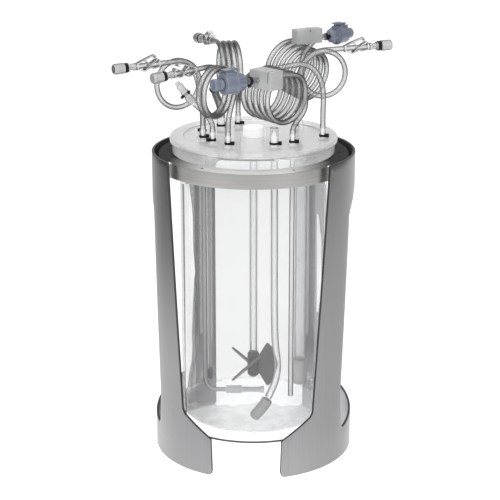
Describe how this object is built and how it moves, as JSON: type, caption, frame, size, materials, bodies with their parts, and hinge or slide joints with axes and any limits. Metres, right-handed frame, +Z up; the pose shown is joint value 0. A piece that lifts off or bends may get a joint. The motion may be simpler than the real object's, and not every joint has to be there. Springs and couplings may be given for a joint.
{
  "type": "bench bioreactor",
  "caption": "Bench bioreactor: a clear single-use bag with a hanging stirrer under a moulded head plate, in a rolled steel stand, with coiled tubing lines, clamps and quick couplings on top.",
  "frame": {"origin": "on the floor, in the middle of the stand's footprint; the vessel's axis stands 3.57 mm in front of it", "axes": "+Z up along the vessel, +Y to the back, -Y to the wide front opening, +X to the right seen from the front"},
  "size_m": [0.3246, 0.2416, 0.5193],
  "materials": {
    "brushed_steel": "brushed stainless sheet, grain up the rolled stand and round the ring",
    "bright_steel": "polished small tube",
    "head_plate_plastic": "clear to milky moulded plastic, glossy",
    "white_plastic": "white moulded plastic, satin",
    "clear_plastic": "clear moulded plastic, glossy",
    "bag_film": "clear soft film with fine wrinkles",
    "dark_plastic": "grey moulded plastic",
    "frit_grey": "frosted grey plastic",
    "violet_plastic": "dark plastic tip",
    "fitting_plastic": "milky moulded fitting, satin",
    "hose_clear": "clear flexible tubing, glossy",
    "block_grey": "pale grey moulded tubing block, matte",
    "coupling_blue": "grey-blue translucent moulded plastic",
    "magnet": "dark magnet, hidden in the hub"
  },
  "bodies": {
    "stand": {"bag": "bag_film", "base_disc": "clear_plastic", "dip_tube": "clear_plastic", "dip_tube_tip": "frit_grey", "drive_hub": "white_plastic", "front_coil": "hose_clear", "front_coupling_body": "coupling_blue", "front_coupling_insert": "coupling_blue", "front_riser": "hose_clear", "front_tubing_block": "block_grey", "head_plate": "head_plate_plastic", "left_connector": "fitting_plastic", "left_front_coil": "hose_clear", "left_front_connector": "fitting_plastic", "left_front_pinch_clamp": "clear_plastic", "left_front_riser": "hose_clear", "left_front_tail": "hose_clear", "left_hose": "hose_clear", "left_pinch_clamp": "clear_plastic", "left_rear_coil": "hose_clear", "left_rear_connector": "fitting_plastic", "left_rear_pinch_clamp": "clear_plastic", "left_rear_riser": "hose_clear", "left_rear_tail": "hose_clear", "probe_tip": "violet_plastic", "probe_tube": "clear_plastic", "rear_coupling_body": "coupling_blue", "rear_coupling_insert": "coupling_blue", "rear_tubing_block": "block_grey", "right_connector": "fitting_plastic", "right_hose": "hose_clear", "right_pinch_clamp": "clear_plastic", "right_rear_coil": "hose_clear", "right_rear_riser": "hose_clear", "sample_tube": "bright_steel", "sampling_connector": "fitting_plastic", "sampling_hose": "hose_clear", "sensor_cap": "frit_grey", "sensor_sleeve": "clear_plastic", "shaft_bearing": "white_plastic", "spare_hose_front": "hose_clear", "spare_hose_left": "hose_clear", "spare_hose_wide": "hose_clear", "sparger_pipe": "bright_steel", "sparger_sleeve": "frit_grey", "sparger_tip": "frit_grey", "stand_shell": "brushed_steel", "support_ring": "brushed_steel"},
    "stirrer": {"stirrer_shaft": "clear_plastic", "impeller": "dark_plastic", "drive_magnet": "magnet"},
    "front_latch": {"front_coupling_latch": "coupling_blue"},
    "rear_latch": {"rear_coupling_latch": "coupling_blue"},
    "left_cap": {"left_cap": "fitting_plastic"},
    "right_cap": {"right_cap": "fitting_plastic"},
    "left_front_cap": {"left_front_cap": "fitting_plastic"},
    "left_rear_cap": {"left_rear_cap": "fitting_plastic"}
  },
  "joints": [
    {"name": "stirrer_spin", "type": "hinge", "parent": "stand", "child": "stirrer", "pos_m": [0, -0.00357, 0.1], "axis": [0, 0, 1], "continuous": true},
    {"name": "front_latch_press", "type": "slide", "parent": "stand", "child": "front_latch", "axis": [0, 0, -1], "range_m": [0, 0.0015], "stiffness_N_per_m": 1000, "springref_m": -0.001},
    {"name": "rear_latch_press", "type": "slide", "parent": "stand", "child": "rear_latch", "axis": [0, 0, -1], "range_m": [0, 0.0015], "stiffness_N_per_m": 1000, "springref_m": -0.001},
    {"name": "left_cap_turn", "type": "hinge", "parent": "stand", "child": "left_cap", "pos_m": [-0.08723, -0.01314, 0.4836], "axis": [-0.8207, -0.5709, -0.0203], "range_deg": [0, 270]},
    {"name": "right_cap_turn", "type": "hinge", "parent": "stand", "child": "right_cap", "pos_m": [0.08302, 0.0113, 0.4947], "axis": [0.9394, 0.3415, 0.03], "range_deg": [0, 270]},
    {"name": "left_front_cap_turn", "type": "hinge", "parent": "stand", "child": "left_front_cap", "pos_m": [-0.05135, -0.05958, 0.4852], "axis": [-0.7421, -0.6676, -0.06], "range_deg": [0, 270]},
    {"name": "left_rear_cap_turn", "type": "hinge", "parent": "stand", "child": "left_rear_cap", "pos_m": [-0.04913, 0.0497, 0.4967], "axis": [-0.4189, 0.9031, -0.095], "range_deg": [0, 270]}
  ]
}
